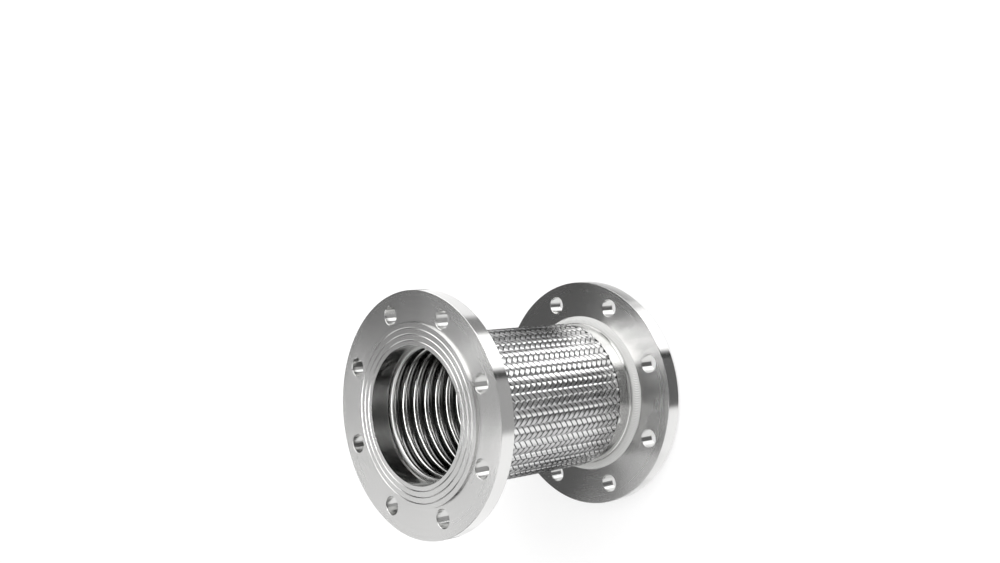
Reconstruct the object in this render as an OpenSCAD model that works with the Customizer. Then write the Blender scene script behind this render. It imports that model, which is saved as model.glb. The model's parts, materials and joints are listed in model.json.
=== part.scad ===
// Braided metal hose with a drilled raised-face flange welded to each end.
// It stands on one flange: the hose axis is Z and the lower raised face is at z = 0.

/* [Overall] */
// Length from raised face to raised face
face_to_face = 300; // [240:5:315]

/* [Flange] */
// Outer diameter of the flange
flange_d = 285; // [272:1:320]
// Thickness of the flange with its raised face
flange_t = 22; // [16:0.5:30]
// Clear bore through the flange
bore_d = 160; // [154:1:164]
// Distance from the rim to the circle through the bolt holes
bolt_inset = 22.5; // [18:0.5:24]
// Number of bolt holes
bolt_count = 8; // [4:4:12]
// Diameter of a bolt hole
bolt_hole_d = 22; // [14:1:24]
// Flat left between the raised face and the bolt holes
raised_gap = 3; // [2:0.5:6]
// Height of the raised face
raised_h = 3; // [1:0.5:5]
// Bevel on the two rim edges
rim_bevel = 1; // [0.5:0.1:2]
// Bevel on the edge of the raised face
raised_bevel = 0.5; // [0.2:0.1:0.8]

/* [Gasket grooves] */
// Number of rings cut into the raised face
groove_count = 3; // [1:1:3]
// Radial distance from the bore to the middle of the first groove
groove_inset = 5.5; // [4:0.5:7]
// Radial distance from the middle of the last groove to the edge of the raised face
groove_outset = 6.5; // [4:0.5:8]
// Width of a groove at the face
groove_w = 1.6; // [0.8:0.1:2.4]
// Depth of a groove
groove_depth = 0.8; // [0.4:0.1:0.9]

/* [Stub ring] */
// Wall of the ring round the end of the bellows
stub_wall = 4.1; // [3.4:0.1:6]
// Length of the ring
stub_l = 9; // [8:0.5:12]
// Length of the inward lip that carries on the flange bore
stub_lip = 2.7; // [2:0.1:3]

/* [Welds] */
// Width of the flange weld on the flange
weld_w = 8; // [4:0.5:10]
// Height of the flange weld on the stub ring
weld_h = 5; // [3:0.5:6]
// How far the flange weld bulges
weld_bulge = 0.9; // [0.2:0.1:1.5]
// Land left inside the collar by the root of the collar weld
closing_land = 0.2; // [0.1:0.1:0.8]
// Reach of the collar weld along the stub ring
closing_w = 2; // [1:0.1:2.4]
// Side of the small bead that seals the bellows to the stub ring
seal_w = 1.2; // [0.8:0.1:1.4]

/* [Collar] */
// Wall of the collar round the braid ends
collar_wall = 1.6; // [1.4:0.1:3]
// Length of the collar
collar_l = 19; // [12:0.5:30]
// Bevel on the open end of the collar
collar_bevel = 0.5; // [0.2:0.1:0.8]

/* [Bellows] */
// How far the convolutions stand inside the flange bore
bore_step = 5; // [4:0.5:6]
// Height of a convolution, from its inner to its outer crest
wave_h = 11.4; // [10.5:0.1:12]
// Length of one convolution, fitted to a whole number
wave_pitch = 17; // [14:0.5:18]
// Thickness of the bellows wall
bellows_wall = 0.8; // [0.4:0.1:1.2]
// Inner crest radius, at the middle of the wall
crest_r = 3; // [2.2:0.1:3.2]
// Distance from the flange to the first inner crest
first_crest = 8.4; // [8.2:0.1:9.5]
// Radius where the first convolution turns into the end cuff
cuff_turn_r = 1.2; // [0.8:0.1:1.3]

/* [Braid] */
// Number of strips, both ways together
strip_count = 120; // [96:4:120]
// Angle between a strip and the hose axis
braid_angle = 47; // [40:1:50]
// Thickness of the braid where the collar holds it
braid_t = 1.3; // [1:0.1:1.6]
// How far the free braid swells beyond the held braid
braid_swell = 2.5; // [1:0.1:3]
// Height of a strip's back over the crossings beside it
strip_relief = 1.5; // [0.6:0.1:1.8]
// Distance from the collar over which the braid swells
swell_l = 7; // [4:0.5:20]

/* [Hidden] */
$fn = 180;

running_gap = 0.1;
cut_over = 1;

// Flange radii
flange_r = flange_d / 2;
bore_r = bore_d / 2;
bolt_circle_r = flange_r - bolt_inset;
raised_r = bolt_circle_r - bolt_hole_d / 2 - raised_gap;
first_groove_r = bore_r + groove_inset;
groove_step = (raised_r - groove_outset - first_groove_r) / max(1, groove_count - 1);

// Bellows radii, at the middle of the wall where not said otherwise
half_wall = bellows_wall / 2;
bellows_in_r = bore_r - bore_step;
bellows_r = bellows_in_r + wave_h;
crest_mid_r = bellows_in_r + half_wall + crest_r;
cuff_mid_r = bellows_r - half_wall;

// Where the convolutions lie along the axis
hose_l = face_to_face - 2 * flange_t;
crest_span = hose_l - 2 * first_crest;
wave_count = round(crest_span / wave_pitch);
pitch = crest_span / wave_count;
lobe_r = pitch / 2 - crest_r;
lobe_mid_r = bellows_r - half_wall - lobe_r;

// From the bellows outwards: braid, collar, stub ring
braid_in_r = bellows_r + running_gap;
held_braid_r = braid_in_r + braid_t;
collar_in_r = held_braid_r + running_gap;
collar_r = collar_in_r + collar_wall;
cuff_seat_r = bellows_r + running_gap;
stub_r = cuff_seat_r + stub_wall;
closing_r = collar_in_r + closing_land;

// Places along the axis, from the lower raised face
flange_back = flange_t;
lip_end = flange_back + stub_lip;
stub_end = flange_back + stub_l;
collar_end = stub_end + collar_l;

// Weave: one step is half the space between two like strips, round the hose and along it
step_angle = 360 / strip_count;
free_l = face_to_face - 2 * collar_end;
strip_space = 4 * PI * (held_braid_r + braid_swell) / strip_count;
float_rows = round(free_l * tan(braid_angle) / strip_space);
// A float's back reaches this many steps each way from its middle
float_reach = 0.7;
// The first back starts at the collar, so the weave starts this many steps further
weave_inset = float_reach - 0.5;
step_l = free_l / (2 * (float_rows + weave_inset));
braid_start = stub_end + running_gap;
held_relief = 0.3;

// Points on an arc from a to b that bulges to the right of the way
function bulged(a, b, bulge, steps = 6) =
    let (
        along = b - a,
        side = [along[1], -along[0]] / norm(along)
    )
    [for (i = [0 : steps])
        let (t = i / steps)
        a + t * along + 4 * bulge * t * (1 - t) * side];

// Children drawn for the lower end, turned over for the upper end
module at_top() {
    translate([0, 0, face_to_face])
        mirror([0, 0, 1])
            children();
}

module flange_section() {
    difference() {
        polygon([
            [bore_r, 0],
            [raised_r - raised_bevel, 0],
            [raised_r, raised_bevel],
            [raised_r, raised_h],
            [flange_r - rim_bevel, raised_h],
            [flange_r, raised_h + rim_bevel],
            [flange_r, flange_t - rim_bevel],
            [flange_r - rim_bevel, flange_t],
            [bore_r, flange_t]
        ]);
        for (i = [0 : groove_count - 1])
            translate([first_groove_r + i * groove_step, 0])
                polygon([[-groove_w / 2, 0], [groove_w / 2, 0], [0, groove_depth]]);
    }
}

module flange() {
    color("silver")
        difference() {
            rotate_extrude() flange_section();
            for (i = [0 : bolt_count - 1])
                rotate((i + 0.5) * 360 / bolt_count)
                    translate([bolt_circle_r, 0, -cut_over])
                        cylinder(d = bolt_hole_d, h = flange_t + 2 * cut_over);
        }
}

module stub_ring() {
    color("darkgray")
        rotate_extrude()
            polygon([
                [bore_r, flange_back],
                [stub_r, flange_back],
                [stub_r, stub_end - closing_w],
                [closing_r, stub_end],
                [cuff_seat_r, stub_end],
                [cuff_seat_r, lip_end],
                [bore_r, lip_end]
            ]);
}

module flange_weld() {
    color("gainsboro")
        rotate_extrude()
            polygon(concat(
                [[stub_r, flange_back]],
                bulged([stub_r + weld_w, flange_back], [stub_r, flange_back + weld_h], weld_bulge)
            ));
}

module collar() {
    color("lightgray")
        rotate_extrude()
            polygon([
                [collar_in_r, stub_end],
                [closing_r, stub_end],
                [collar_r, stub_end + collar_r - closing_r],
                [collar_r, collar_end - collar_bevel],
                [collar_r - collar_bevel, collar_end],
                [collar_in_r, collar_end]
            ]);
}

module collar_weld() {
    crown = 0.3;
    color("gray")
        rotate_extrude()
            polygon(concat(
                [[closing_r, stub_end]],
                bulged(
                    [stub_r, stub_end - closing_w],
                    [collar_r, stub_end + collar_r - closing_r],
                    crown
                )
            ));
}

module seal_weld() {
    cuff_in_r = cuff_mid_r - half_wall;
    color("gray")
        rotate_extrude()
            polygon([
                [cuff_in_r - seal_w, lip_end],
                [cuff_in_r, lip_end],
                [cuff_in_r, lip_end + seal_w]
            ]);
}

// A bent stretch of the bellows wall round a centre, kept on one side of it
module bend(at, r, keep_from, keep_size) {
    translate(at)
        intersection() {
            difference() {
                circle(r = r + half_wall);
                circle(r = r - half_wall);
            }
            translate(keep_from) square(keep_size);
        }
}

// The flat flank between an inner crest and an outer lobe
module flank(z, from_r, to_r) {
    translate([from_r, z - half_wall])
        square([to_r - from_r, bellows_wall]);
}

module inner_crest(z) {
    reach = crest_r + bellows_wall;
    bend([crest_mid_r, z], crest_r, [-reach, -reach], [reach, 2 * reach]);
}

module outer_lobe(z) {
    reach = lobe_r + bellows_wall;
    bend([lobe_mid_r, z], lobe_r, [0, -reach], [reach, 2 * reach]);
}

// From the end cuff, seated in the stub ring, to the flank of the first crest
module cuff_section() {
    flank_z = flange_back + first_crest - crest_r;
    turn_mid_r = cuff_mid_r - cuff_turn_r;
    turn_z = flank_z - cuff_turn_r;
    reach = cuff_turn_r + bellows_wall;
    flank(flank_z, crest_mid_r, turn_mid_r);
    bend([turn_mid_r, turn_z], cuff_turn_r, [0, 0], [reach, reach]);
    translate([cuff_mid_r - half_wall, lip_end])
        square([bellows_wall, turn_z - lip_end]);
}

module bellows_section() {
    first_z = flange_back + first_crest;
    for (i = [0 : wave_count])
        inner_crest(first_z + i * pitch);
    for (i = [0 : wave_count - 1]) {
        outer_lobe(first_z + (i + 0.5) * pitch);
        flank(first_z + i * pitch + crest_r, crest_mid_r, lobe_mid_r);
        flank(first_z + (i + 1) * pitch - crest_r, crest_mid_r, lobe_mid_r);
    }
    cuff_section();
    translate([0, face_to_face]) mirror([0, 1]) cuff_section();
}

module bellows() {
    color("slategray")
        rotate_extrude() bellows_section();
}

// How far the braid has swollen at height z: 0 at the collar, 1 in the free part
function swell(z) =
    let (t = min(1, max(0, min(z - collar_end, face_to_face - collar_end - z) / swell_l)))
    t * t * (3 - 2 * t);

function back_r(z) = held_braid_r + swell(z) * braid_swell;
function valley_r(z) = back_r(z) - held_relief - swell(z) * (strip_relief - held_relief);

// A weave place is [m, n]: m steps round the hose and n steps up from the first row
function weave_z(n) = collar_end + (n + weave_inset) * step_l;
function weave_point(m, n, r) = [r * cos(m * step_angle), r * sin(m * step_angle), weave_z(n)];
function back(m, n) = weave_point(m, n, back_r(weave_z(n)));

// The crossings at the edge of the weave rise and fall in a zigzag of four steps.
// They stay as low as the held braid, because the plain skirt under the collar starts there.
function zigzag(m) = [-1, 0, 1, 0][m % 4];
function valley(m, k) =
    let (
        n = zigzag(m) + 2 * k,
        at_edge = k == 0 || k == float_rows
    )
    weave_point(m, n, at_edge ? held_braid_r - held_relief : valley_r(weave_z(n)));

// Rows of points: crossings column by column, then two ridge points for each float
function crossing(m, k) = (m % strip_count) * (float_rows + 1) + k;
crossing_count = strip_count * (float_rows + 1);
column_pairs = strip_count / 4;
function ridge(c, k, way, end) =
    crossing_count + ((c * float_rows + k) * 2 + way) * 2 + end;
ridge_count = column_pairs * float_rows * 4;
rim_base = crossing_count + ridge_count;
inner_base = rim_base + 2 * strip_count;
function rim(m, end) = rim_base + end * strip_count + m % strip_count;
function inner(c, end) = inner_base + end * column_pairs + c % column_pairs;

// A float as a hipped roof: six crossings round it and a ridge from p to q
function roof(a, b, c, d, e, f, p, q) = [
    [p, b, a], [p, c, b], [p, q, c], [q, d, c],
    [q, e, d], [q, f, e], [q, p, f], [p, a, f]
];

module braid() {
    inner_r = braid_in_r / cos(180 / column_pairs);
    end_z = [braid_start, face_to_face - braid_start];
    crossings = [
        for (m = [0 : strip_count - 1])
        for (k = [0 : float_rows])
            valley(m, k)
    ];
    ridges = [
        for (c = [0 : column_pairs - 1])
        for (k = [0 : float_rows - 1])
        for (way = [0, 1])
        for (end = [-1, 1])
            let (
                mid_m = 4 * c + 0.5 + 2 * way,
                mid_n = 2 * k + 0.5 + way,
                rise = way == 0 ? 1 : -1
            )
            back(mid_m + end * float_reach, mid_n + end * rise * float_reach)
    ];
    rims = [
        for (end = [0, 1])
        for (m = [0 : strip_count - 1])
            [
                held_braid_r * cos(m * step_angle),
                held_braid_r * sin(m * step_angle),
                end_z[end]
            ]
    ];
    inners = [
        for (end = [0, 1])
        for (c = [0 : column_pairs - 1])
            [
                inner_r * cos(4 * c * step_angle),
                inner_r * sin(4 * c * step_angle),
                end_z[end]
            ]
    ];
    rising = [
        for (c = [0 : column_pairs - 1])
        for (k = [0 : float_rows - 1])
            let (m = 4 * c + strip_count)
            each roof(
                crossing(m - 1, k), crossing(m, k), crossing(m + 1, k),
                crossing(m + 2, k), crossing(m + 1, k + 1), crossing(m, k + 1),
                ridge(c, k, 0, 0), ridge(c, k, 0, 1)
            )
    ];
    falling = [
        for (c = [0 : column_pairs - 1])
        for (k = [0 : float_rows - 1])
            let (m = 4 * c + 2)
            each roof(
                crossing(m, k + 1), crossing(m - 1, k + 1), crossing(m, k),
                crossing(m + 1, k), crossing(m + 2, k + 1), crossing(m + 1, k + 1),
                ridge(c, k, 1, 0), ridge(c, k, 1, 1)
            )
    ];
    skirts = [
        for (m = [0 : strip_count - 1])
            each [
                [crossing(m + 1, 0), rim(m + 1, 0), rim(m, 0)],
                [crossing(m, 0), crossing(m + 1, 0), rim(m, 0)],
                [rim(m + 1, 1), crossing(m + 1, float_rows), crossing(m, float_rows)],
                [rim(m, 1), rim(m + 1, 1), crossing(m, float_rows)]
            ]
    ];
    inside = [
        for (c = [0 : column_pairs - 1])
            each [
                [inner(c, 0), inner(c + 1, 0), inner(c + 1, 1), inner(c, 1)],
                [
                    inner(c + 1, 0), inner(c, 0),
                    for (i = [0 : 4]) rim(4 * c + i, 0)
                ],
                [
                    inner(c, 1), inner(c + 1, 1),
                    for (i = [4 : -1 : 0]) rim(4 * c + i, 1)
                ]
            ]
    ];
    color("lightsteelblue")
        polyhedron(
            points = concat(crossings, ridges, rims, inners),
            faces = concat(rising, falling, skirts, inside)
        );
}

flange();  // bottom_flange
at_top() flange();  // top_flange
stub_ring();  // bottom_stub_ring
at_top() stub_ring();  // top_stub_ring
flange_weld();  // bottom_flange_weld
at_top() flange_weld();  // top_flange_weld
collar();  // bottom_collar
at_top() collar();  // top_collar
collar_weld();  // bottom_collar_weld
at_top() collar_weld();  // top_collar_weld
seal_weld();  // bottom_seal_weld
at_top() seal_weld();  // top_seal_weld
bellows();
braid();
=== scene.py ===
"""A braided metal hose with a drilled flange at each end: its forms, finishes and studio."""
import json
import math

import bmesh
import bpy
from mathutils import Matrix, Vector


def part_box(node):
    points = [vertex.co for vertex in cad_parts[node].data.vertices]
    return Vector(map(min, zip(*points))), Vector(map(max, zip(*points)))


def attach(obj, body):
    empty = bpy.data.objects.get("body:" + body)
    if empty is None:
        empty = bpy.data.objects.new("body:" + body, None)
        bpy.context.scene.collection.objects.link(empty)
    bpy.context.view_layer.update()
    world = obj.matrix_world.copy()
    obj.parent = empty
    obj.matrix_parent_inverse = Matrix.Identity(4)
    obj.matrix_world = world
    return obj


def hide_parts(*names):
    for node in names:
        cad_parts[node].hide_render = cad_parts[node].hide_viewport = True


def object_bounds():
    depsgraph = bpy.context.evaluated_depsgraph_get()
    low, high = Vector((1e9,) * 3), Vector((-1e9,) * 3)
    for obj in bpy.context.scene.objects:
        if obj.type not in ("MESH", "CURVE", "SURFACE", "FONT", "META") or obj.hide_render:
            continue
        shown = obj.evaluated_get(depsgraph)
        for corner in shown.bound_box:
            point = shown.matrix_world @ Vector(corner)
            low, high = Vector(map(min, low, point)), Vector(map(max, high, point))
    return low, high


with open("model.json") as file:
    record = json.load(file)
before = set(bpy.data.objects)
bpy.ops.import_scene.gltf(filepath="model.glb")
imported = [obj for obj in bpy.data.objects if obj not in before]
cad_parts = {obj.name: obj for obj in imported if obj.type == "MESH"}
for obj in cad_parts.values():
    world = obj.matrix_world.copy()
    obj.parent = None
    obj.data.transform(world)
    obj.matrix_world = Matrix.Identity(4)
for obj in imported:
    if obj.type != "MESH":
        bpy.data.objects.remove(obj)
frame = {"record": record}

CAD_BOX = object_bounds()
MM = 0.001

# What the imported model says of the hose
mounts = {mount["name"]: mount for mount in frame["record"]["mounts"]}
HOSE_L = CAD_BOX[1].z
BORE_R = mounts["bottom_bore"]["dims"]["r_mm"] * MM
BOLT_R = mounts["bottom_bolts"]["dims"]["hole_r_mm"] * MM
BOLT_CIRCLE_R = mounts["bottom_bolts"]["dims"]["pcd_mm"] * MM / 2
BOLT_COUNT = mounts["bottom_bolts"]["dims"]["count"]


def high_corner(node):
    """Outer radius and highest place of a node of the lower end."""
    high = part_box(node)[1]
    return high.x, high.z


FLANGE_R, FLANGE_T = high_corner("bottom_flange")
STUB_R, STUB_END = high_corner("bottom_stub_ring")
WELD_R, WELD_END = high_corner("bottom_flange_weld")
COLLAR_R, COLLAR_END = high_corner("bottom_collar")
CLOSING_END = high_corner("bottom_collar_weld")[1]
BELLOWS_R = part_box("bellows")[1].x
BELLOWS_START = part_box("bellows")[0].z
BRAID_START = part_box("braid")[0].z
RAISED_H = mounts["bottom_bolts"]["pos_m"][2]

# Sizes that the model's boxes don't give: the flange's face and rim
RAISED_R = 106 * MM
RIM_EDGE = 1.0 * MM
GROOVE_RADII = [85.5 * MM, 92.5 * MM, 99.5 * MM]
GROOVE_W = 1.6 * MM
GROOVE_DEPTH = 0.8 * MM

# The stub ring, collar and welds at a hose end
COLLAR_IN_R = 87.9 * MM
CLOSING_R = 88.1 * MM
CLOSING_BEVEL = 2 * MM
CUFF_SEAT_R = 86.5 * MM
SEAL_W = 1.2 * MM

# The bellows: crests stand into the bore, lobes towards the braid
BELLOWS_WALL = 0.8 * MM
CREST_R = 3.0 * MM
CREST_MID_R = 78.4 * MM
FIRST_CREST = 30.4 * MM
WAVES = 14
CUFF_TURN_R = 1.2 * MM

# The weave: strips each way, and the step from crossing to crossing along the hose
STRIPS = 60
STEP_ANGLE = math.pi / STRIPS
WEAVE_ROWS = 46.4
WEAVE_STEP = (HOSE_L - 2 * COLLAR_END) / WEAVE_ROWS
# Row 0 lies this many steps beyond the mouth of the lower collar
WEAVE_INSET = 0.2
# Middle and wave of a strip where a collar holds it and on the free length
HELD_MID_R = 87.15 * MM
FREE_MID_R = 89.15 * MM
HELD_WAVE = 0.25 * MM
FREE_WAVE = 0.75 * MM
SWELL_L = 4 * MM
FLATNESS = 2.2
STRIP_W = 6.0 * MM
STRIP_T = 0.5 * MM
STRIP_CROWN = 0.12 * MM
STRIP_POINTS = 146
WIRES = 6
WIRE_H = 0.1 * MM

# Facets round the hose, the angle from which an edge stays sharp, and how near two points are made one
TURNS = 256
BELLOWS_TURNS = 128
SHARP = math.radians(32)
MERGE = 0.005 * MM

# Marks to a metre in each finish, and draw lines over the width of a strip
LATHE_MARKS = 2200.0
LATHE_BANDS = 160.0
HAND_CLOUDS = 26.0
FEED_MARKS = 1500.0
WELD_GRAIN = 900.0
WELD_PATCHES = 60.0
ROLL_MARKS = 900.0
ROLL_SMEARS = 40.0
DRAW_LINES = 60.0

# The photograph's viewpoint, found by fitting both flanges
CAMERA_PLACE = (1.0600, 0.2051, 1.1510)
CAMERA_TARGET = (-0.0013, 0.1478, 0.1647)
CAMERA_UP = (-0.0253, 0.9992, -0.0307)
CAMERA_LENS = 43.3
CAMERA_SENSOR = 36

# Studio: the floor, the tent of panels, the grey card and the light, in metres and watts
FLOOR_HALF = 8.0
FLOOR_PAPER = (0.6, 0.6, 0.6, 1)
FLOOR_GLOW = 0.42
WHITE = (1, 1, 1, 1)
TENT_R = 1.15
TENT_ROWS = 24
TENT_TURNS = 48
TENT_LEVEL = 0.5
TENT_MIDDLE_AZ = math.radians(60)
# The card stands across X, and its outline is in Y and Z
CARD_LEVEL = 0.12
CARD_X = -0.15
CARD_OUTLINE = [(-0.24, 0.02), (0.16, 0.02), (0.16, 0.34), (-0.05, 0.28), (-0.24, 0.29)]
DAYLIGHT = 1.0
LAMP_SIZE = 1.6
LAMP_POWER = 14
LAMP_PLACE = (0.5, 0.9, 1.8)
LAMP_TARGET = (0, 0, 0.1)


class Value:
    """One socket of a node tree, so that its maths reads as an expression."""

    def __init__(self, net, socket):
        self.net = net
        self.socket = socket

    def __add__(self, other):
        return self.net.math("ADD", self, other)

    def __sub__(self, other):
        return self.net.math("SUBTRACT", self, other)

    def __rsub__(self, other):
        return self.net.math("SUBTRACT", other, self)

    def __mul__(self, other):
        return self.net.math("MULTIPLY", self, other)

    __radd__ = __add__


class Net:
    """A node tree while it is being built."""

    def __init__(self, tree):
        self.tree = tree

    def put(self, value, socket):
        """Links a value to a socket, or sets the socket to a plain number, colour or name."""
        if isinstance(value, Value):
            self.tree.links.new(value.socket, socket)
        else:
            socket.default_value = value

    def add(self, kind, settings=None, values=None):
        """Any node: its settings first, then the values or links of its sockets."""
        node = self.tree.nodes.new(kind)
        for name, value in (settings or {}).items():
            setattr(node, name, value)
        for name, value in (values or {}).items():
            self.put(value, node.inputs[name])
        return node

    def get(self, kind, output=0, settings=None, values=None):
        """One output of a new node."""
        return Value(self, self.add(kind, settings, values).outputs[output])

    def math(self, operation, *values):
        return self.get("ShaderNodeMath", 0, {"operation": operation}, dict(enumerate(values)))

    def smooth(self, value, low, high, at_low=0.0, at_high=1.0):
        """A soft step from at_low to at_high as the value goes from low to high."""
        return self.get(
            "ShaderNodeMapRange", 0, {"interpolation_type": "SMOOTHSTEP"},
            {"Value": value, "From Min": low, "From Max": high, "To Min": at_low, "To Max": at_high},
        )

    def parts(self, vector):
        node = self.add("ShaderNodeSeparateXYZ", values={0: vector})
        return [Value(self, output) for output in node.outputs]

    def noise(self, place, scale, detail=2.0, dimensions="3D"):
        """Soft noise from 0 to 1 at a place or, in one dimension, along a run."""
        socket = "W" if dimensions == "1D" else "Vector"
        return self.get(
            "ShaderNodeTexNoise", 0, {"noise_dimensions": dimensions},
            {socket: place, "Scale": scale, "Detail": detail},
        )


class Finish(Net):
    """A metal finish: constants go on the shader's own sockets."""

    def __init__(self, name, colour, **constants):
        self.material = bpy.data.materials.new(name)
        self.material.use_nodes = True
        super().__init__(self.material.node_tree)
        self.shader = self.tree.nodes["Principled BSDF"]
        self.colour = colour
        self.put(1.0, self.shader.inputs["Metallic"])
        for socket, value in constants.items():
            self.put(value, self.shader.inputs[socket.replace("_", " ")])

    def place(self):
        return self.get("ShaderNodeTexCoord", "Object")

    def radius(self):
        """Distance from the hose axis, and the height along it."""
        x, y, z = self.parts(self.place())
        return self.math("SQRT", x * x + y * y), z

    def height(self):
        return self.parts(self.place())[2]

    def tinted(self, shade):
        """The metal's own colour, made darker or lighter by a number round 1."""
        mixed = self.get(
            "ShaderNodeVectorMath", 0, {"operation": "SCALE"},
            {0: self.colour, "Scale": shade},
        )
        self.put(mixed, self.shader.inputs["Base Color"])

    def roughened(self, roughness):
        self.put(roughness, self.shader.inputs["Roughness"])

    def raised(self, height, strength, distance):
        bump = self.get(
            "ShaderNodeBump", 0, None,
            {"Height": height, "Strength": strength, "Distance": distance},
        )
        self.put(bump, self.shader.inputs["Normal"])


def turned_finish(name, colour, roughness, grain=0.35, mark_depth=0.02 * MM):
    """Lathe marks that run round the hose axis, on faces and on rims alike."""
    finish = Finish(name, colour, Anisotropic=grain, Anisotropic_Rotation=0.25)
    radius, z = finish.radius()
    run = radius + z
    fine = finish.noise(run, LATHE_MARKS, 2.0, "1D")
    bands = finish.noise(run, LATHE_BANDS, 3.0, "1D")
    cloud = finish.noise(finish.place(), HAND_CLOUDS, 4.0)
    finish.tinted(0.94 + fine * 0.05 + cloud * 0.07)
    finish.roughened(roughness + (bands - 0.5) * 0.05 + (cloud - 0.5) * 0.06)
    finish.raised(fine + bands * 0.6, strength=0.2, distance=mark_depth)
    return finish.material


def drilled_finish():
    """Feed marks down the wall of a drilled hole."""
    finish = Finish("drilled_steel", (0.66, 0.66, 0.65))
    marks = finish.noise(finish.height(), FEED_MARKS, 2.0, "1D")
    finish.tinted(0.88 + marks * 0.2)
    finish.roughened(0.16 + marks * 0.08)
    finish.raised(marks, strength=0.3, distance=0.05 * MM)
    return finish.material


def bead_finish():
    """Pickled weld metal: pale, dull and a little grainy, with painted shade between the ripples."""
    finish = Finish("weld_bead_steel", (0.97, 0.97, 0.955), Metallic=0.3)
    grain = finish.noise(finish.place(), WELD_GRAIN, 3.0)
    patches = finish.noise(finish.place(), WELD_PATCHES, 3.0)
    ridge = finish.get("ShaderNodeAttribute", "Fac", {"attribute_name": "ridge"})
    # painted shade: darker in the troughs between the ripples, and all over the seal weld, whose mesh
    # has no ridges
    finish.tinted((0.88 + grain * 0.08 + patches * 0.06) * (0.38 + ridge * 0.62))
    finish.roughened(0.46 + patches * 0.1)
    finish.raised(grain, strength=0.3, distance=0.1 * MM)
    return finish.material


def rolled_finish():
    """Bright rolled sheet with faint marks round the convolutions."""
    finish = Finish("bellows_steel", (0.68, 0.68, 0.67))
    radius, z = finish.radius()
    marks = finish.noise(z * 0.7 + radius, ROLL_MARKS, 3.0, "1D")
    smears = finish.noise(finish.place(), ROLL_SMEARS, 3.0)
    # painted shade darkens the valleys and, nearly to black, the deep gap beside the seal weld; the
    # first flank is matt and a little darker, also painted shade
    depth = finish.smooth(radius, CREST_MID_R - 0.8 * MM, CREST_MID_R + 3.5 * MM)
    from_end = finish.math("MINIMUM", z, HOSE_L - z)
    flank = finish.smooth(from_end, FIRST_CREST - 3 * MM, FIRST_CREST - 1.2 * MM, 1.0, 0.0)
    seal_gap_shade = flank * finish.smooth(radius, BORE_R + 1.6 * MM, BORE_R + 2.8 * MM)
    painted_shade = finish.math("MAXIMUM", depth * (1 - flank) * 0.65, seal_gap_shade * 0.95)
    finish.tinted((0.95 + marks * 0.08 - flank * 0.15) * (1 - painted_shade))
    finish.roughened(0.1 + smears * 0.05 + flank * 0.35)
    finish.raised(marks, strength=0.05, distance=0.02 * MM)
    return finish.material


def strip_finish(name, grain_turn, brightness):
    """Bright drawn wires laid side by side, with fine draw lines along each wire."""
    finish = Finish(name, (brightness,) * 3, Anisotropic=0.88, Anisotropic_Rotation=grain_turn)
    across, tone, lift = [
        finish.get("ShaderNodeAttribute", "Fac", {"attribute_name": kept})
        for kept in ("across", "tone", "lift")
    ]
    # painted shade: each strip is coloured darker in the creases between its wires
    wire = finish.math("SINE", across * (math.pi * WIRES))
    wire = wire * wire
    lines = finish.noise(across, DRAW_LINES, 3.0, "1D")
    # painted shade darkens the strips along their edges and where a strip dips under the others
    from_edge = 0.5 - finish.math("ABSOLUTE", across - 0.5)
    edge = finish.smooth(from_edge, 0.0, 0.13, 0.03, 1.0)
    dip = finish.smooth(lift, -0.8, -0.1, 0.12, 1.0)
    # and at the mouth of a collar, where the strips go in under it
    z = finish.height()
    from_collar = finish.math("MINIMUM", z - COLLAR_END, HOSE_L - COLLAR_END - z)
    mouth = finish.smooth(from_collar, 0.2 * MM, 1.4 * MM, 0.05, 1.0)
    bare = 0.8 + wire * 0.16 + (tone - 0.5) * 0.1 + (lines - 0.5) * 0.08
    # the colour carries the painted shade of the edges, the dips and the collar mouths
    finish.tinted(bare * edge * dip * mouth)
    finish.roughened(0.19 + (lines - 0.5) * 0.06 + (tone - 0.5) * 0.05)
    finish.raised(lines, strength=0.25, distance=0.05 * MM)
    return finish.material


FLANGE_STEEL = turned_finish("turned_flange_steel", (0.74, 0.737, 0.73), roughness=0.26, grain=0.85)
RIM_STEEL = turned_finish("turned_rim_steel", (0.74, 0.737, 0.73), roughness=0.14)
# the bore is given a darker colour than the face of the same steel: painted shade inside the bore
BORE_STEEL = turned_finish("bored_flange_steel", (0.52, 0.52, 0.515), roughness=0.14)
RING_STEEL = turned_finish("turned_ring_steel", (0.7, 0.7, 0.69), roughness=0.13, mark_depth=0.01 * MM)
DRILLED_STEEL = drilled_finish()
BEAD_STEEL = bead_finish()
BELLOWS_STEEL = rolled_finish()


def rounded(corners, steps=3):
    """A closed section whose corners (r, z, radius) are turned into short curves."""
    points = []
    count = len(corners)
    for i, (r, z, radius) in enumerate(corners):
        here = Vector((r, z))
        back = Vector(corners[i - 1][:2]) - here
        ahead = Vector(corners[(i + 1) % count][:2]) - here
        if radius == 0:
            points.append((r, z))
            continue
        reach = min(radius, back.length * 0.45, ahead.length * 0.45)
        start = here + back.normalized() * reach
        end = here + ahead.normalized() * reach
        for step in range(steps + 1):
            t = step / steps
            point = start * (1 - t) ** 2 + here * 2 * t * (1 - t) + end * t * t
            points.append((point.x, point.y))
    return points


def at_end(points, end):
    """Section points of the lower end, turned over for the top end."""
    if end == "bottom":
        return points
    return [(r, HOSE_L - z) for r, z in points]


def lathed(section, closed=True, turns=TURNS):
    """A section of (radius, height) points turned round the hose axis."""
    rows = len(section)
    vertices = [
        (r * math.cos(2 * math.pi * k / turns), r * math.sin(2 * math.pi * k / turns), z)
        for k in range(turns)
        for r, z in section
    ]
    return vertices, wrapped_faces(rows, turns, rows if closed else rows - 1)


def wrapped_faces(rows, turns, last):
    """Faces between each section and the next one round the hose, over its first points or all."""
    faces = []
    for k in range(turns):
        here, after = k * rows, (k + 1) % turns * rows
        for i in range(last):
            j = (i + 1) % rows
            faces.append((here + i, after + i, after + j, here + j))
    return faces


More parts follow.
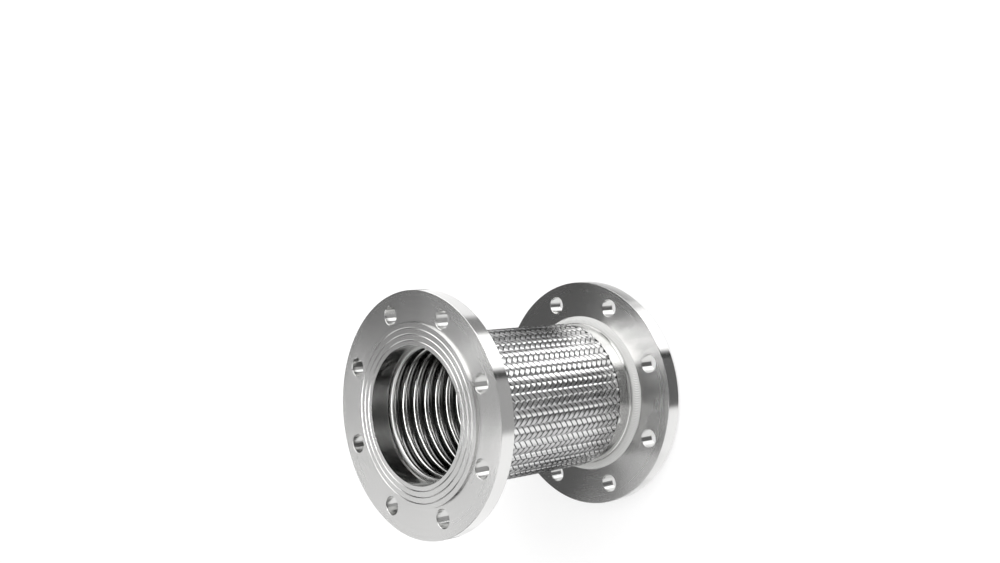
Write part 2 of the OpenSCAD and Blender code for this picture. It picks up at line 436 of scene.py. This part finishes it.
def mesh_piece(name, vertices, faces, outward=True):
    mesh = bpy.data.meshes.new(name)
    mesh.from_pydata(vertices, [], faces)
    piece = bpy.data.objects.new(name, mesh)
    bpy.context.scene.collection.objects.link(piece)
    if outward:
        face_outward(mesh)
    return piece


def face_outward(mesh, weld=0.0):
    work = bmesh.new()
    work.from_mesh(mesh)
    if weld:
        bmesh.ops.remove_doubles(work, verts=work.verts, dist=weld)
    bmesh.ops.recalc_face_normals(work, faces=work.faces)
    work.to_mesh(mesh)
    work.free()


def settle(piece):
    """Turns a piece with live modifiers into a plain mesh."""
    bpy.context.view_layer.update()
    evaluated = piece.evaluated_get(bpy.context.evaluated_depsgraph_get())
    mesh = bpy.data.meshes.new_from_object(evaluated)
    piece.modifiers.clear()
    piece.data = mesh


def shade(piece, turned=False):
    """Smooth shading that keeps hard edges; turned faces and rims are left truly flat or round."""
    mesh = piece.data
    mesh.polygons.foreach_set("use_smooth", [True] * len(mesh.polygons))
    mesh.set_sharp_from_angle(angle=SHARP)
    if not turned:
        return
    level, upright = 0.9999, 0.001
    ruling = {}
    for face in mesh.polygons:
        flat = abs(face.normal.z) > level
        if not flat and abs(face.normal.z) > upright:
            continue
        for corner in face.vertices:
            if face.area > ruling.get(corner, (0, None))[0]:
                normal = face.normal.copy() if flat else round_normal(mesh, corner, face)
                ruling[corner] = (face.area, normal)
    normals = [corner.vector.copy() for corner in mesh.corner_normals]
    near = math.cos(SHARP)
    for face in mesh.polygons:
        for loop in face.loop_indices:
            corner = mesh.loops[loop].vertex_index
            if corner in ruling and ruling[corner][1].dot(face.normal) > near:
                normals[loop] = ruling[corner][1]
    mesh.normals_split_custom_set(normals)


def round_normal(mesh, corner, face):
    """The true normal of a round wall at one of its points.

    A wall that doesn't run round the hose axis, such as a bolt hole's, keeps its facet's normal.
    """
    in_line = 0.999
    place = mesh.vertices[corner].co
    outward = Vector((place.x, place.y, 0)).normalized()
    way = outward.dot(face.normal)
    return outward * math.copysign(1, way) if abs(way) > in_line else face.normal.copy()


def join_hose(piece, slot, *nodes):
    """Hangs a piece on the hose's one body, in the place of the model's plain solids."""
    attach(piece, "root")
    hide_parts(*nodes)


def groove_corners():
    """The V grooves in the raised face, from the outermost inwards."""
    lip, root = 0.12 * MM, 0.2 * MM
    corners = []
    for radius in reversed(GROOVE_RADII):
        corners += [
            (radius + GROOVE_W / 2, 0, lip),
            (radius, GROOVE_DEPTH, root),
            (radius - GROOVE_W / 2, 0, lip),
        ]
    return corners


def flange(end):
    """A turned plate ring with a raised face, three grooves and drilled bolt holes."""
    face_edge, weld_edge, step_root = 0.5 * MM, 0.1 * MM, 0.3 * MM
    corners = [
        (BORE_R, 0, face_edge),
        (BORE_R, FLANGE_T, weld_edge),
        (FLANGE_R, FLANGE_T, RIM_EDGE),
        (FLANGE_R, RAISED_H, RIM_EDGE),
        (RAISED_R, RAISED_H, step_root),
        (RAISED_R, 0, face_edge),
    ] + groove_corners()
    piece = mesh_piece(f"{end}_flange_turned", *lathed(at_end(rounded(corners), end)))
    drills = bolt_drills(end)
    cut = piece.modifiers.new("bolt_holes", "BOOLEAN")
    cut.object = drills
    cut.operation = "DIFFERENCE"
    cut.solver = "EXACT"
    settle(piece)
    bpy.data.objects.remove(drills)
    for material in (FLANGE_STEEL, BORE_STEEL, DRILLED_STEEL, RIM_STEEL):
        piece.data.materials.append(material)
    for face in piece.data.polygons:
        face.material_index = flange_finish_index(face.center, abs(face.normal.z) < 0.5)
    shade(piece, turned=True)
    join_hose(piece, "flange_steel", f"{end}_flange")


def bolt_centres():
    """The holes straddle the axes, so the first lies half a pitch round."""
    angles = [(i + 0.5) * 2 * math.pi / BOLT_COUNT for i in range(BOLT_COUNT)]
    return [(BOLT_CIRCLE_R * math.cos(angle), BOLT_CIRCLE_R * math.sin(angle)) for angle in angles]


def bolt_drills(end):
    """Eight drills in one cutter, flared where they break a bevel at both faces."""
    bevel = 0.4 * MM
    over = 1.5 * MM
    sides = 64
    section = [
        (0, RAISED_H - over), (BOLT_R + bevel + over, RAISED_H - over),
        (BOLT_R, RAISED_H + bevel), (BOLT_R, FLANGE_T - bevel),
        (BOLT_R + bevel + over, FLANGE_T + over), (0, FLANGE_T + over),
    ]
    one, faces = lathed(at_end(section, end), closed=False, turns=sides)
    vertices, all_faces = [], []
    for x, y in bolt_centres():
        first = len(vertices)
        vertices += [(vx + x, vy + y, vz) for vx, vy, vz in one]
        all_faces += [tuple(first + corner for corner in face) for face in faces]
    drills = mesh_piece(f"{end}_drills", vertices, all_faces)
    face_outward(drills.data, weld=0.01 * MM)
    return drills


def flange_finish_index(centre, upright):
    """Which of the flange's four finishes a face has, from its centre."""
    turned, bored, drilled, rim = range(4)
    slack = 0.02 * MM
    if not upright:
        return turned
    radius = math.hypot(centre.x, centre.y)
    if radius < BORE_R + slack:
        return bored
    if radius > FLANGE_R - 0.9 * RIM_EDGE:
        return rim
    for x, y in bolt_centres():
        if math.hypot(centre.x - x, centre.y - y) < BOLT_R + slack:
            return drilled
    return turned


def ring(name, end, corners, material, slot, node):
    """A turned ring from the corners of its section at the lower end."""
    piece = mesh_piece(name, *lathed(at_end(rounded(corners), end)))
    piece.data.materials.append(material)
    shade(piece, turned=True)
    join_hose(piece, slot, node)


def stub_ring(end):
    """The short ring between flange and hose, with its lip and the seat of the bellows."""
    edge, lip_edge = 0.15 * MM, 0.3 * MM
    corners = [
        (BORE_R, FLANGE_T, edge), (STUB_R, FLANGE_T, edge),
        (STUB_R, STUB_END - CLOSING_BEVEL, edge), (CLOSING_R, STUB_END, edge),
        (CUFF_SEAT_R, STUB_END, edge), (CUFF_SEAT_R, BELLOWS_START, 0),
        (BORE_R, BELLOWS_START, lip_edge),
    ]
    ring(f"{end}_stub_ring_turned", end, corners, RING_STEEL, "ring_steel", f"{end}_stub_ring")


def collar(end):
    """The plain sleeve over the braid's end, with a soft outer edge at its mouth."""
    edge, mouth_edge, inner_edge = 0.15 * MM, 0.6 * MM, 0.2 * MM
    corners = [
        (COLLAR_IN_R, STUB_END, edge), (CLOSING_R, STUB_END, edge),
        (COLLAR_R, STUB_END + COLLAR_R - CLOSING_R, edge),
        (COLLAR_R, COLLAR_END, mouth_edge), (COLLAR_IN_R, COLLAR_END, inner_edge),
    ]
    ring(f"{end}_collar_turned", end, corners, RING_STEEL, "ring_steel", f"{end}_collar")


def bead(end, kind, root, foot, toe, bulge, ripple_pitch, ripple_h, steel):
    """A weld bead from foot to toe round its root, with ripples left by the moving pool."""
    across = 10
    per_ripple = 6
    trail = 0.9
    mean_r = (foot[0] + toe[0]) / 2
    ripples = round(2 * math.pi * mean_r / ripple_pitch)
    turns = ripples * per_ripple
    start, stop = Vector(foot), Vector(toe)
    along = stop - start
    side = Vector((along.y, -along.x)).normalized()
    rows = across + 2
    vertices, ridges = [], []
    for k in range(turns):
        angle = 2 * math.pi * k / turns
        for i in range(across + 1):
            t = i / across
            crown = 4 * t * (1 - t)
            # each ripple trails behind at the edges of the bead
            phase = k / per_ripple + trail * (1 - crown)
            wander = 0.8 + 0.2 * math.sin(7 * angle) * math.sin(3 * angle + 1)
            ridge = 0.5 - 0.5 * math.cos(2 * math.pi * phase)
            lift = bulge * crown + ripple_h * wander * (ridge - 1) * min(1, 2 * crown)
            point = start + along * t + side * lift
            vertices.append(bead_point(point, angle, end))
            ridges.append(ridge)
        vertices.append(bead_point(Vector(root), angle, end))
        ridges.append(0.0)
    piece = mesh_piece(f"{end}_{kind}_bead", vertices, wrapped_faces(rows, turns, rows))
    piece.data.attributes.new("ridge", "FLOAT", "POINT").data.foreach_set("value", ridges)
    piece.data.materials.append(steel)
    shade(piece)
    join_hose(piece, "weld_steel", f"{end}_{kind}")


def bead_point(point, angle, end):
    """A point of a bead's section, turned round the hose axis."""
    z = point.y if end == "bottom" else HOSE_L - point.y
    return (point.x * math.cos(angle), point.x * math.sin(angle), z)


def flange_weld(end):
    """The rippled fillet between the stub ring and the flange."""
    bead(
        end, "flange_weld", (STUB_R, FLANGE_T), (WELD_R, FLANGE_T), (STUB_R, WELD_END),
        bulge=0.9 * MM, ripple_pitch=2.1 * MM, ripple_h=0.55 * MM, steel=BEAD_STEEL,
    )


def collar_weld(end):
    """The closing bead between stub ring and collar, dressed nearly smooth."""
    bead(
        end, "collar_weld", (CLOSING_R, STUB_END), (STUB_R, STUB_END - CLOSING_BEVEL),
        (COLLAR_R, CLOSING_END),
        bulge=0.3 * MM, ripple_pitch=3.0 * MM, ripple_h=0.04 * MM, steel=RING_STEEL,
    )


def seal_weld(end):
    """The small ring bead at the end of the bellows, deep behind the lip."""
    cuff_in_r = BELLOWS_R - BELLOWS_WALL
    corners = [
        (cuff_in_r - SEAL_W, BELLOWS_START, 0), (cuff_in_r, BELLOWS_START, 0),
        (cuff_in_r, BELLOWS_START + SEAL_W, 0),
    ]
    ring(f"{end}_seal_weld_bead", end, corners, BEAD_STEEL, "weld_steel", f"{end}_seal_weld")


def arc(centre_r, centre_z, radius, from_deg, to_deg, steps):
    """Section points on an arc, angles from the outward direction towards +Z."""
    points = []
    for i in range(steps + 1):
        angle = math.radians(from_deg + (to_deg - from_deg) * i / steps)
        points.append((centre_r + radius * math.cos(angle), centre_z + radius * math.sin(angle)))
    return points


WAVE_PITCH = (HOSE_L - 2 * FIRST_CREST) / WAVES
LOBE_R = WAVE_PITCH / 2 - CREST_R
LOBE_MID_R = BELLOWS_R - BELLOWS_WALL / 2 - LOBE_R


def wave_line(side, steps):
    """One side of the wall over one convolution; side is -1 for the bore, 1 for the braid."""
    half = side * BELLOWS_WALL / 2
    low = arc(CREST_MID_R, 0, CREST_R - half, 180, 90, steps)
    lobe = arc(LOBE_MID_R, WAVE_PITCH / 2, LOBE_R + half, -90, 90, 2 * steps)
    high = arc(CREST_MID_R, WAVE_PITCH, CREST_R - half, 270, 180, steps)
    return low + lobe + high


def cuff_line():
    """Both sides of the wall from the first crest down to the end of the cuff."""
    half = BELLOWS_WALL / 2
    flank_z = FIRST_CREST - CREST_R
    turn_r = BELLOWS_R - half - CUFF_TURN_R
    line = []
    for side in (-1, 1):
        crest = arc(CREST_MID_R, FIRST_CREST, CREST_R - side * half, 180, 270, 6)
        turn = arc(turn_r, flank_z - CUFF_TURN_R, CUFF_TURN_R + side * half, 90, 0, 4)
        cuff = [(BELLOWS_R - half + side * half, BELLOWS_START)]
        wall = crest + turn + cuff
        line += wall if side < 0 else wall[::-1]
    return line


def new_rule(name, sizes):
    """A geometry rule with its named sizes, as links to use inside and as sockets to set."""
    tree = bpy.data.node_groups.new(name, "GeometryNodeTree")
    net = Net(tree)
    tree.interface.new_socket("Geometry", in_out="INPUT", socket_type="NodeSocketGeometry")
    sockets = {
        size: tree.interface.new_socket(size, in_out="INPUT", socket_type=f"NodeSocket{kind}").identifier
        for size, kind in sizes.items()
    }
    tree.interface.new_socket("Geometry", in_out="OUTPUT", socket_type="NodeSocketGeometry")
    given = net.add("NodeGroupInput")
    value = {size: Value(net, given.outputs[size]) for size in ("Geometry", *sizes)}
    return net, value, sockets


def wave_rule():
    """Repeats one convolution up the hose."""
    net, value, sockets = new_rule("convolutions", {
        "Waves": "Int", "Pitch": "Float", "First": "Float", "Steel": "Material",
    })
    start = net.get("ShaderNodeCombineXYZ", values={"Z": value["First"]})
    step = net.get("ShaderNodeCombineXYZ", values={"Z": value["Pitch"]})
    places = net.get(
        "GeometryNodeMeshLine", 0, {"mode": "OFFSET"},
        {"Count": value["Waves"], "Start Location": start, "Offset": step},
    )
    copies = net.get(
        "GeometryNodeInstanceOnPoints", values={"Points": places, "Instance": value["Geometry"]}
    )
    real = net.get("GeometryNodeRealizeInstances", values={"Geometry": copies})
    merged = net.get(
        "GeometryNodeMergeByDistance", values={"Geometry": real, "Distance": MERGE}
    )
    done = net.get("GeometryNodeSetMaterial", values={"Geometry": merged, "Material": value["Steel"]})
    net.add("NodeGroupOutput", values={"Geometry": done})
    return net.tree, sockets


def apply_rule(piece, tree, sockets, values):
    """Runs a rule on a piece with the given sizes and leaves a plain mesh."""
    rule = piece.modifiers.new(tree.name, "NODES")
    rule.node_group = tree
    for name, value in values.items():
        rule[sockets[name]] = value
    settle(piece)


def bellows():
    """A thin corrugated tube with a plain cuff at each end."""
    inside, faces_in = lathed(wave_line(-1, 6), closed=False, turns=BELLOWS_TURNS)
    outside, faces_out = lathed(wave_line(1, 3), closed=False, turns=BELLOWS_TURNS)
    shift = len(inside)
    faces = faces_in + [tuple(corner + shift for corner in face) for face in faces_out]
    piece = mesh_piece("bellows_tube", inside + outside, faces, outward=False)
    piece.data.materials.append(BELLOWS_STEEL)
    tree, sockets = wave_rule()
    sizes = {"Waves": WAVES, "Pitch": WAVE_PITCH, "First": FIRST_CREST, "Steel": BELLOWS_STEEL}
    apply_rule(piece, tree, sockets, sizes)
    work = bmesh.new()
    work.from_mesh(piece.data)
    for end in ("bottom", "top"):
        vertices, faces = lathed(at_end(cuff_line(), end), closed=False, turns=BELLOWS_TURNS)
        made = [work.verts.new(vertex) for vertex in vertices]
        for face in faces:
            work.faces.new([made[corner] for corner in face])
    bmesh.ops.remove_doubles(work, verts=work.verts, dist=MERGE)
    bmesh.ops.recalc_face_normals(work, faces=work.faces)
    work.to_mesh(piece.data)
    work.free()
    shade(piece)
    join_hose(piece, "bellows_steel", "bellows")


def strip_section():
    """The section of one strip: wires side by side on top, and a plain underside."""
    points = []
    for i in range(2 * WIRES + 1):
        share = i / WIRES - 1
        top = STRIP_T / 2 - STRIP_CROWN * share * share + (WIRE_H if i % 2 else 0)
        points.append((share * STRIP_W / 2, top))
    under = STRIP_W * 0.48
    points.append((under, -STRIP_T / 2))
    points.append((-under, -STRIP_T / 2))
    curve = bpy.data.curves.new("strip_section", "CURVE")
    curve.dimensions = "3D"
    spline = curve.splines.new("POLY")
    spline.points.add(len(points) - 1)
    for point, (across, up) in zip(spline.points, points):
        point.co = (up, across, 0, 1)
    spline.use_cyclic_u = True
    section = bpy.data.objects.new("strip_section", curve)
    bpy.context.scene.collection.objects.link(section)
    return section


def weave_rule():
    """Lays strips side by side round the hose, each over two and under two of the others."""
    net, value, sockets = new_rule("woven_strips", {
        "Strips": "Int", "First": "Float", "Hand": "Float", "Over At": "Float", "Points": "Int",
        "Low Row": "Float", "High Row": "Float", "Section": "Object", "Steel": "Material",
    })
    line = net.get("GeometryNodeCurvePrimitiveLine")
    line = net.get(
        "GeometryNodeResampleCurve", values={"Curve": line, "Count": value["Points"]}
    )
    copies = net.add(
        "GeometryNodeDuplicateElements", {"domain": "SPLINE"},
        {"Geometry": line, "Amount": value["Strips"]},
    )
    kept = net.add("GeometryNodeCaptureAttribute", {"domain": "CURVE"})
    kept.capture_items.new("FLOAT", "Number")
    net.put(Value(net, copies.outputs["Geometry"]), kept.inputs["Geometry"])
    net.put(Value(net, copies.outputs["Duplicate Index"]), kept.inputs["Number"])
    number = Value(net, kept.outputs["Number"])
    share = net.get("GeometryNodeSplineParameter", "Factor")

    row = value["Low Row"] + (value["High Row"] - value["Low Row"]) * share
    step = value["First"] + number * 2 + value["Hand"] * row
    angle = step * STEP_ANGLE
    z = COLLAR_END + (row + WEAVE_INSET) * WEAVE_STEP
    from_collar = net.math("MINIMUM", z - COLLAR_END, HOSE_L - COLLAR_END - z)
    swell = net.smooth(from_collar, 0.0, SWELL_L)
    # Nearly flat floats with quick dips between them, shallower under the collars
    wave = net.math("TANH", net.math("COSINE", (step - value["Over At"]) * (math.pi / 2)) * FLATNESS)
    wave = wave * (1 / math.tanh(FLATNESS))
    depth = net.smooth(from_collar, -0.5 * MM, SWELL_L / 2, HELD_WAVE, FREE_WAVE)
    radius = HELD_MID_R + swell * (FREE_MID_R - HELD_MID_R) + wave * depth
    place = net.get("ShaderNodeCombineXYZ", values={
        "X": radius * net.math("COSINE", angle), "Y": radius * net.math("SINE", angle), "Z": z,
    })
    lifted = net.add("GeometryNodeCaptureAttribute", {"domain": "POINT"})
    lifted.capture_items.new("FLOAT", "Lift")
    net.put(Value(net, kept.outputs["Geometry"]), lifted.inputs["Geometry"])
    net.put(wave, lifted.inputs["Lift"])
    laid = net.get("GeometryNodeSetPosition", values={
        "Geometry": Value(net, lifted.outputs["Geometry"]), "Position": place,
    })
    laid = net.get("GeometryNodeSetCurveNormal", 0, {"mode": "Z_UP"}, {"Curve": laid})
    section = net.get("GeometryNodeObjectInfo", "Geometry", None, {"Object": value["Section"]})
    across = net.add("GeometryNodeCaptureAttribute", {"domain": "POINT"})
    across.capture_items.new("FLOAT", "Across")
    net.put(section, across.inputs["Geometry"])
    side = net.parts(net.get("GeometryNodeInputPosition"))[1]
    net.put(side * (1 / STRIP_W) + 0.5, across.inputs["Across"])
    swept = net.get("GeometryNodeCurveToMesh", values={
        "Curve": laid, "Profile Curve": Value(net, across.outputs["Geometry"]), "Fill Caps": True,
    })
    tone = net.get("FunctionNodeRandomValue", 1, {"data_type": "FLOAT"}, {"ID": number, "Seed": 4})
    across_held = Value(net, across.outputs["Across"])
    lift_held = Value(net, lifted.outputs["Lift"])
    # What the strips' finish reads back
    for name, held in (("across", across_held), ("tone", tone), ("lift", lift_held)):
        swept = net.get(
            "GeometryNodeStoreNamedAttribute", 0, {"data_type": "FLOAT", "domain": "POINT"},
            {"Geometry": swept, "Name": name, "Value": held},
        )
    real = net.get("GeometryNodeRealizeInstances", values={"Geometry": swept})
    done = net.get("GeometryNodeSetMaterial", values={"Geometry": real, "Material": value["Steel"]})
    net.add("NodeGroupOutput", values={"Geometry": done})
    return net.tree, sockets


def braid():
    """Sixty strips each way, in four pieces: two hands, each in two sets."""
    tree, sockets = weave_rule()
    section = strip_section()
    # the strips are cut square, so a corner reaches half a width past the middle of the end
    cut = STRIP_W / 2
    low_row = (BRAID_START + cut - COLLAR_END) / WEAVE_STEP - WEAVE_INSET
    high_row = (HOSE_L - BRAID_START - cut - COLLAR_END) / WEAVE_STEP - WEAVE_INSET
    pitch_turn = math.degrees(math.atan2(STEP_ANGLE * FREE_MID_R, WEAVE_STEP)) / 360
    # each hand: its way round, the step of its first float, its grain's turn and its brightness; both
    # hands are one steel, and the two brightnesses are painted light and shade
    hands = (("right", 1, 0.5, -pitch_turn, 0.88), ("left", -1, 2.5, pitch_turn, 0.64))
    for hand, way, over_at, turn, brightness in hands:
        steel = strip_finish(f"{hand}_hand_braid_steel", turn % 1, brightness)
        for part in (0, 1):
            piece = mesh_piece(f"braid_{hand}_hand_{part + 1}", [], [])
            apply_rule(piece, tree, sockets, {
                "Strips": STRIPS // 2, "First": float(part * STRIPS), "Hand": float(way),
                "Over At": over_at, "Points": STRIP_POINTS, "Low Row": low_row, "High Row": high_row,
                "Section": section, "Steel": steel,
            })
            face_outward(piece.data)
            shade(piece)
            join_hose(piece, "braid_steel", "braid")
    bpy.data.objects.remove(section)


def aim(thing, place, target, up=(0, 0, 1)):
    """Puts a camera or lamp at a place, looking at a target."""
    back = (Vector(place) - Vector(target)).normalized()
    right = Vector(up).cross(back).normalized()
    turn = Matrix((right, back.cross(right), back)).transposed()
    thing.matrix_world = Matrix.Translation(place) @ turn.to_4x4()
    bpy.context.scene.collection.objects.link(thing)


def camera():
    """The photograph's viewpoint: the hose axis runs level, so up in the picture is +Y."""
    data = bpy.data.cameras.new("camera")
    data.sensor_width = CAMERA_SENSOR
    data.lens = CAMERA_LENS
    data.clip_start = 0.05
    data.clip_end = 50
    thing = bpy.data.objects.new("camera", data)
    aim(thing, CAMERA_PLACE, CAMERA_TARGET, CAMERA_UP)
    bpy.context.scene.camera = thing


def bare_material(name):
    """A material with an empty node tree."""
    made = bpy.data.materials.new(name)
    made.use_nodes = True
    net = Net(made.node_tree)
    net.tree.nodes.clear()
    return made, net


def floor():
    """A white floor under the lower flange, which keeps the object's soft shadow."""
    made, net = bare_material("white_floor")
    paper = net.get("ShaderNodeBsdfDiffuse", values={"Color": FLOOR_PAPER})
    glow = net.get("ShaderNodeEmission", values={"Color": WHITE, "Strength": FLOOR_GLOW})
    both = net.get("ShaderNodeAddShader", values={0: paper, 1: glow})
    net.add("ShaderNodeOutputMaterial", values={"Surface": both})
    half = FLOOR_HALF
    piece = mesh_piece("studio_floor", [
        (-half, -half, 0), (half, -half, 0), (half, half, 0), (-half, half, 0)
    ], [(0, 1, 2, 3)])
    piece.data.materials.append(made)
    piece.visible_glossy = False


def zone(net, azimuth, elevation, az, el, soft):
    """1 inside a patch of the studio wall, in degrees, and 0 outside, with soft edges."""
    inside = None
    for value, (low, high) in ((azimuth, az), (elevation, el)):
        up = net.smooth(value, low - soft, low + soft)
        down = net.smooth(value, high - soft, high + soft, 1.0, 0.0)
        inside = up * down if inside is None else inside * up * down
    return inside


# Panels of the studio that the bright metal shows: azimuth, elevation, softness and level.
# The angles are in degrees, seen from the middle of the hose: azimuth from +X towards +Y, elevation
# from level upwards. A later panel lies over the earlier ones.
PANELS = [
    ("table", (-130, -14), (-95, 5), 5, 1.15),
    ("back_wall", (165, 245), (-95, 80), 5, 0.6),
    ("low_table", (192, 245), (-95, 47), 5, 1.0),
    ("low_table_far", (199, 245), (47, 75), 4, 0.9),
    ("top_wall", (94, 165), (-95, 5), 5, 1.15),
    ("braid_light", (-58, -14), (-48, -37), 2, 1.0),
    ("braid_low_light", (-93, -58), (-48, -37), 3, 0.6),
    ("side_far", (-14, 32), (-95, -48), 2, 0.16),
    ("side_low", (-14, 32), (-48, -41), 2, 0.02),
    ("side_high", (-14, 32), (-40, 15), 3, 0.45),
    ("dark_gap", (32, 40), (-95, 15), 2, 0.02),
    ("key_panel", (41, 92), (-95, 10), 4, 1.8),
    ("key_edge", (75, 96), (-38, 15), 3, 0.3),
    ("key_edge_braid", (82, 100), (-49, -38), 3, 0.5),
    ("key_braid", (46, 80), (-48, -38), 2, 2.8),
    ("under_card", (-130, -93), (-49, -38), 2, 0.03),
    ("under_card_behind", (180, 245), (-49, -38), 2, 0.03),
    ("top_card", (100, 175), (-50, -38), 2, 0.03),
    ("front_wall", (-85, -16), (18, 43), 4, 0.95),
    ("front_low", (-130, -85), (12, 95), 5, 0.02),
    ("front_high", (-90, -16), (45, 95), 3, 0.02),
    ("front_dark", (-16, 84), (25, 95), 5, 0.03),
    ("key_front", (46, 84), (10, 62), 4, 2.4),
    ("front_strip", (-130, 84), (68, 84), 2, 6.0),
    ("upper_panel", (85, 130), (10, 62), 5, 2.2),
    ("dark_card", (142, 179.5), (10, 47), 3, 0.0),
    ("dull_card", (128, 177), (47, 75), 3, 0.05),
    ("right_wall", (183, 199), (46, 70), 3, 0.2),
    ("fan_panel", (172, 178), (56, 61), 1.5, 5.0),
]


def studio_walls():
    """A tent round the hose that only reflections see: pale with bright and dark panels."""
    made, net = bare_material("studio_panels")
    x, y, z = net.parts(net.get("ShaderNodeTexCoord", "Object"))
    centre_z = HOSE_L / 2
    # azimuth runs half a turn either way from the middle one, so no panel is cut by its seam
    middle = TENT_MIDDLE_AZ
    ahead = x * math.cos(middle) + y * math.sin(middle)
    left = y * math.cos(middle) - x * math.sin(middle)
    azimuth = net.math("ARCTAN2", left, ahead) * math.degrees(1) + math.degrees(middle)
    level_r = net.math("SQRT", x * x + y * y)
    elevation = net.math("ARCTAN2", z - centre_z, level_r) * math.degrees(1)
    level = TENT_LEVEL
    for _, az, el, soft, brightness in PANELS:
        mask = zone(net, azimuth, elevation, az, el, soft)
        level = (1 - mask) * level + mask * brightness
    section = arc(0, centre_z, TENT_R, -90, 90, TENT_ROWS)
    piece = mesh_piece("studio_panels", *lathed(section, closed=False, turns=TENT_TURNS))
    only_in_reflections(piece, made, net, level)


def far_card():
    """A grey card beside the hose: the inner face of the lower flange mirrors it."""
    made, net = bare_material("grey_card")
    piece = mesh_piece("grey_card", [(CARD_X, y, z) for y, z in CARD_OUTLINE], [(0, 1, 2, 3, 4)])
    only_in_reflections(piece, made, net, CARD_LEVEL)


def only_in_reflections(piece, made, net, level):
    """Lets a glowing piece of the studio show in the metal and nowhere else."""
    glow = net.get("ShaderNodeEmission", values={"Color": WHITE, "Strength": level})
    net.add("ShaderNodeOutputMaterial", values={"Surface": glow})
    made.cycles.emission_sampling = "NONE"
    piece.data.materials.append(made)
    for ray in ("camera", "diffuse", "shadow", "transmission", "volume_scatter"):
        setattr(piece, f"visible_{ray}", False)


def lamps():
    """Soft daylight from all round and one broad lamp above, which throws the soft shadow."""
    world = bpy.data.worlds.new("studio_white")
    bpy.context.scene.world = world
    world.use_nodes = True
    background = world.node_tree.nodes["Background"]
    background.inputs["Color"].default_value = WHITE
    background.inputs["Strength"].default_value = DAYLIGHT
    data = bpy.data.lights.new("overhead_softbox", "AREA")
    data.shape = "DISK"
    data.size = LAMP_SIZE
    data.energy = LAMP_POWER
    lamp = bpy.data.objects.new("overhead_softbox", data)
    aim(lamp, LAMP_PLACE, LAMP_TARGET)
    lamp.visible_glossy = False


for end in ("bottom", "top"):
    flange(end)
    stub_ring(end)
    flange_weld(end)
    collar(end)
    collar_weld(end)
    seal_weld(end)
bellows()
braid()
camera()
floor()
studio_walls()
far_card()
lamps()
bpy.context.scene.view_settings.view_transform = "Standard"
